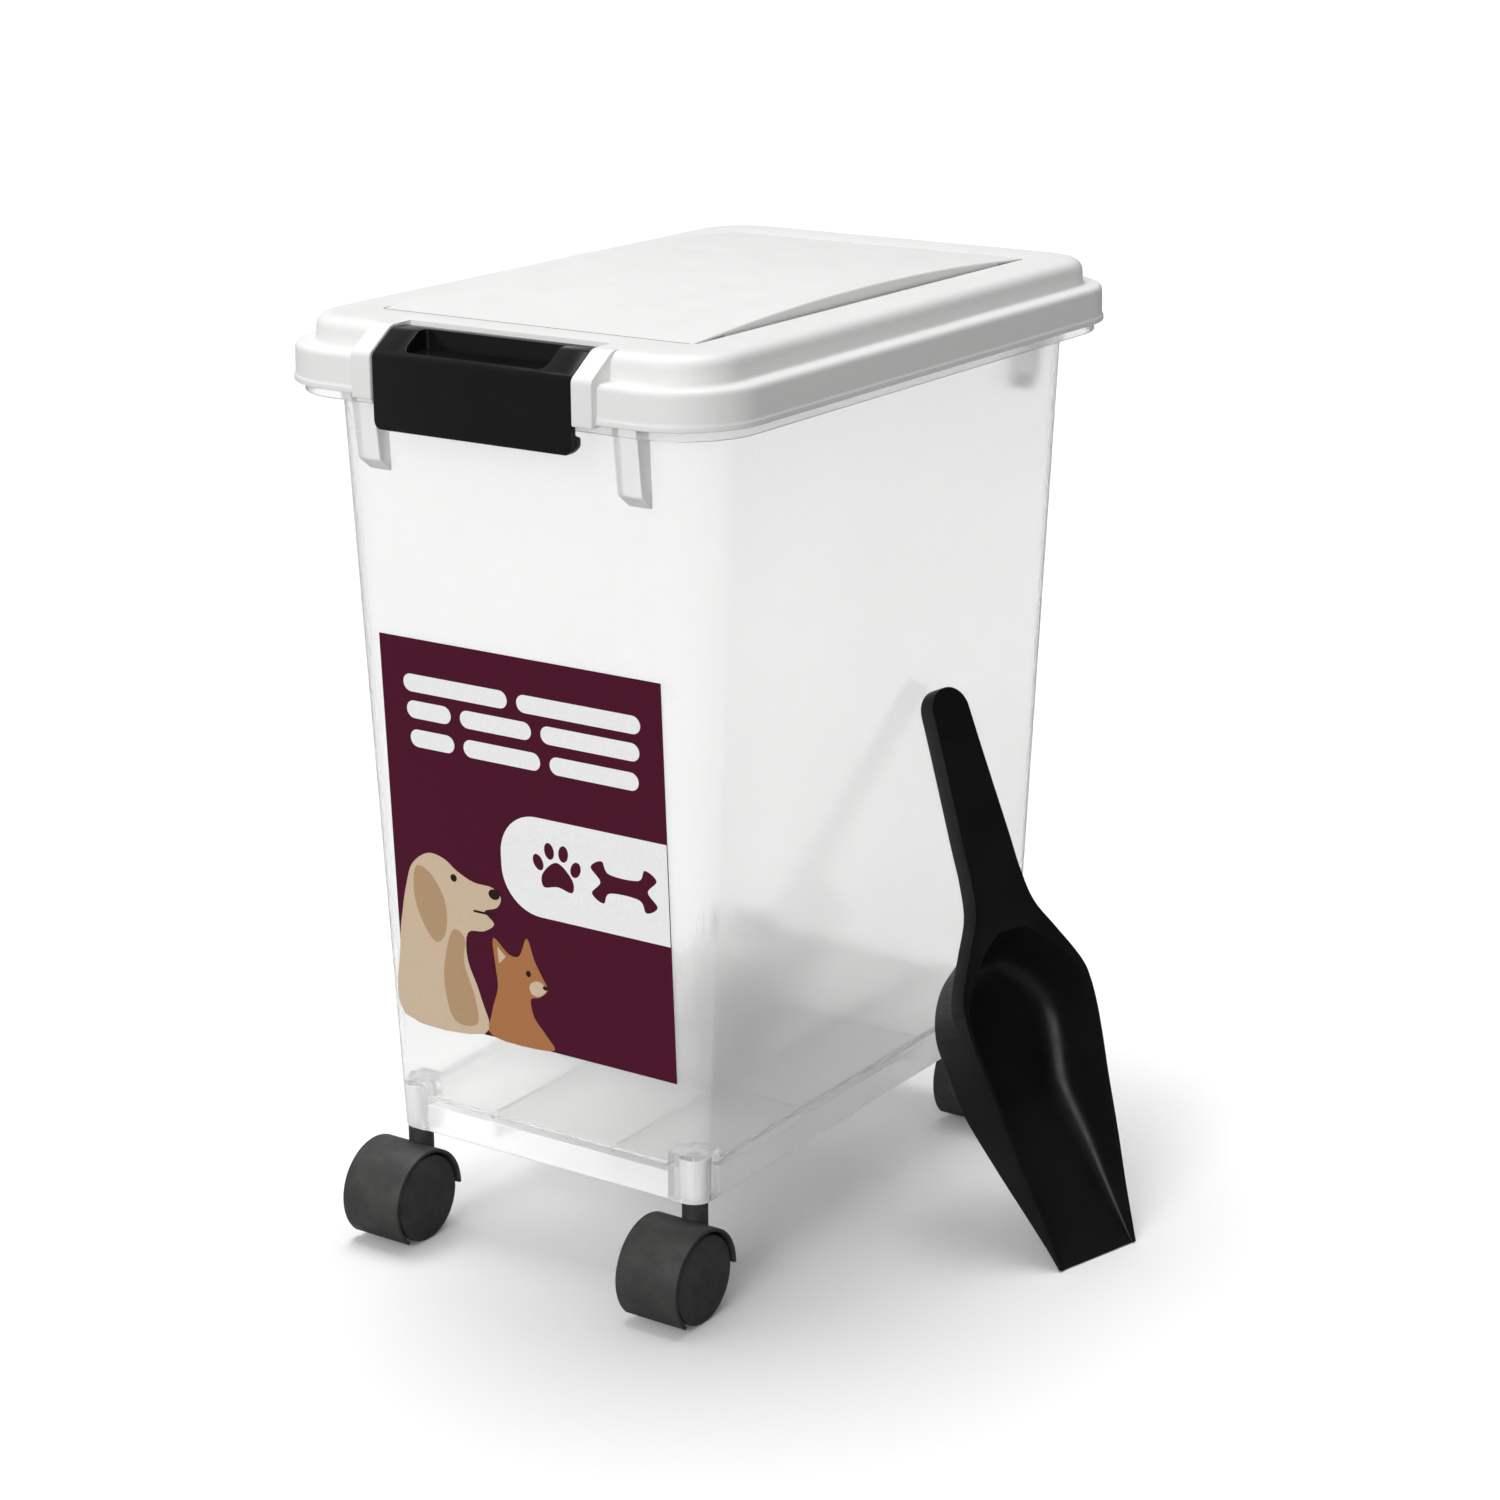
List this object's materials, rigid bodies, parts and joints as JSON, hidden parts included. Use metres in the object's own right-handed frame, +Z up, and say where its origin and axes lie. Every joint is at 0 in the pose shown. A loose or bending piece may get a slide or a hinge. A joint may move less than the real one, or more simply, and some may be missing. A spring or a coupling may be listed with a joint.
{
  "type": "pet food bin",
  "caption": "Clear tapered food storage bin on swivel casters, with a white lid hinged at the back and held by a front latch, a front label and a black scoop leaning on its side.",
  "frame": {"origin": "middle of the base of the bounding box of the whole set (bin and leaning scoop), on the floor", "axes": "+Z up; the bin is long along Y; its label and front latch face -Y; the scoop leans on its +X side"},
  "size_m": [0.322, 0.3584, 0.4246],
  "materials": {
    "tub_clear": "clear moulded plastic with a faint milky haze",
    "lid_white": "fine satin light grey-white",
    "latch_black": "polished black",
    "scoop_black": "semi-gloss black",
    "caster_black": "fine-grained matte black",
    "wheel_black": "matte black, smooth face",
    "caster_steel": "zinc-plated",
    "gasket": "soft translucent grey",
    "label_film": "printed film, burgundy with white shapes"
  },
  "bodies": {
    "tub": {"tub": "tub_clear", "label": "label_film", "front_left_caster_stem": "caster_steel", "front_left_grip_ring": "caster_steel", "front_right_caster_stem": "caster_steel", "front_right_grip_ring": "caster_steel", "back_left_caster_stem": "caster_steel", "back_left_grip_ring": "caster_steel", "back_right_caster_stem": "caster_steel", "back_right_grip_ring": "caster_steel"},
    "lid": {"lid": "lid_white", "lid_gasket": "gasket"},
    "front_latch": {"front_latch": "latch_black"},
    "scoop": {"scoop": "scoop_black"},
    "front_left_caster": {"front_left_caster_hood": "caster_black", "front_left_caster_axle": "caster_steel"},
    "front_left_wheel_left": {"front_left_wheel_left": "wheel_black"},
    "front_left_wheel_right": {"front_left_wheel_right": "wheel_black"},
    "front_right_caster": {"front_right_caster_hood": "caster_black", "front_right_caster_axle": "caster_steel"},
    "front_right_wheel_left": {"front_right_wheel_left": "wheel_black"},
    "front_right_wheel_right": {"front_right_wheel_right": "wheel_black"},
    "back_left_caster": {"back_left_caster_hood": "caster_black", "back_left_caster_axle": "caster_steel"},
    "back_left_wheel_left": {"back_left_wheel_left": "wheel_black"},
    "back_left_wheel_right": {"back_left_wheel_right": "wheel_black"},
    "back_right_caster": {"back_right_caster_hood": "caster_black", "back_right_caster_axle": "caster_steel"},
    "back_right_wheel_left": {"back_right_wheel_left": "wheel_black"},
    "back_right_wheel_right": {"back_right_wheel_right": "wheel_black"}
  },
  "joints": [
    {"name": "lid_hinge", "type": "hinge", "parent": "tub", "child": "lid", "pos_m": [-0.04581, 0.17489, 0.394], "axis": [-1, 0, 0], "range_deg": [0, 95]},
    {"name": "front_latch_hinge", "type": "hinge", "parent": "lid", "child": "front_latch", "pos_m": [-0.04581, -0.15661, 0.4136], "axis": [-1, 0, 0], "range_deg": [0, 90]},
    {"name": "scoop_lift", "type": "slide", "parent": "tub", "child": "scoop", "axis": [0.7071, 0, 0.7071], "range_m": [0, 0.2]},
    {"name": "front_left_swivel", "type": "hinge", "parent": "tub", "child": "front_left_caster", "pos_m": [-0.12151, -0.13461, 0.045], "axis": [0, 0, 1], "continuous": true},
    {"name": "front_left_wheel_left_spin", "type": "hinge", "parent": "front_left_caster", "child": "front_left_wheel_left", "pos_m": [-0.13141, -0.14911, 0.02], "axis": [1, 0, 0], "continuous": true},
    {"name": "front_left_wheel_right_spin", "type": "hinge", "parent": "front_left_caster", "child": "front_left_wheel_right", "pos_m": [-0.11161, -0.14911, 0.02], "axis": [1, 0, 0], "continuous": true},
    {"name": "front_right_swivel", "type": "hinge", "parent": "tub", "child": "front_right_caster", "pos_m": [0.02989, -0.13461, 0.045], "axis": [0, 0, 1], "continuous": true},
    {"name": "front_right_wheel_left_spin", "type": "hinge", "parent": "front_right_caster", "child": "front_right_wheel_left", "pos_m": [0.01999, -0.14911, 0.02], "axis": [1, 0, 0], "continuous": true},
    {"name": "front_right_wheel_right_spin", "type": "hinge", "parent": "front_right_caster", "child": "front_right_wheel_right", "pos_m": [0.03979, -0.14911, 0.02], "axis": [1, 0, 0], "continuous": true},
    {"name": "back_left_swivel", "type": "hinge", "parent": "tub", "child": "back_left_caster", "pos_m": [-0.12151, 0.12739, 0.045], "axis": [0, 0, 1], "continuous": true},
    {"name": "back_left_wheel_left_spin", "type": "hinge", "parent": "back_left_caster", "child": "back_left_wheel_left", "pos_m": [-0.13141, 0.11289, 0.02], "axis": [1, 0, 0], "continuous": true},
    {"name": "back_left_wheel_right_spin", "type": "hinge", "parent": "back_left_caster", "child": "back_left_wheel_right", "pos_m": [-0.11161, 0.11289, 0.02], "axis": [1, 0, 0], "continuous": true},
    {"name": "back_right_swivel", "type": "hinge", "parent": "tub", "child": "back_right_caster", "pos_m": [0.02989, 0.12739, 0.045], "axis": [0, 0, 1], "continuous": true},
    {"name": "back_right_wheel_left_spin", "type": "hinge", "parent": "back_right_caster", "child": "back_right_wheel_left", "pos_m": [0.01999, 0.11289, 0.02], "axis": [1, 0, 0], "continuous": true},
    {"name": "back_right_wheel_right_spin", "type": "hinge", "parent": "back_right_caster", "child": "back_right_wheel_right", "pos_m": [0.03979, 0.11289, 0.02], "axis": [1, 0, 0], "continuous": true}
  ]
}
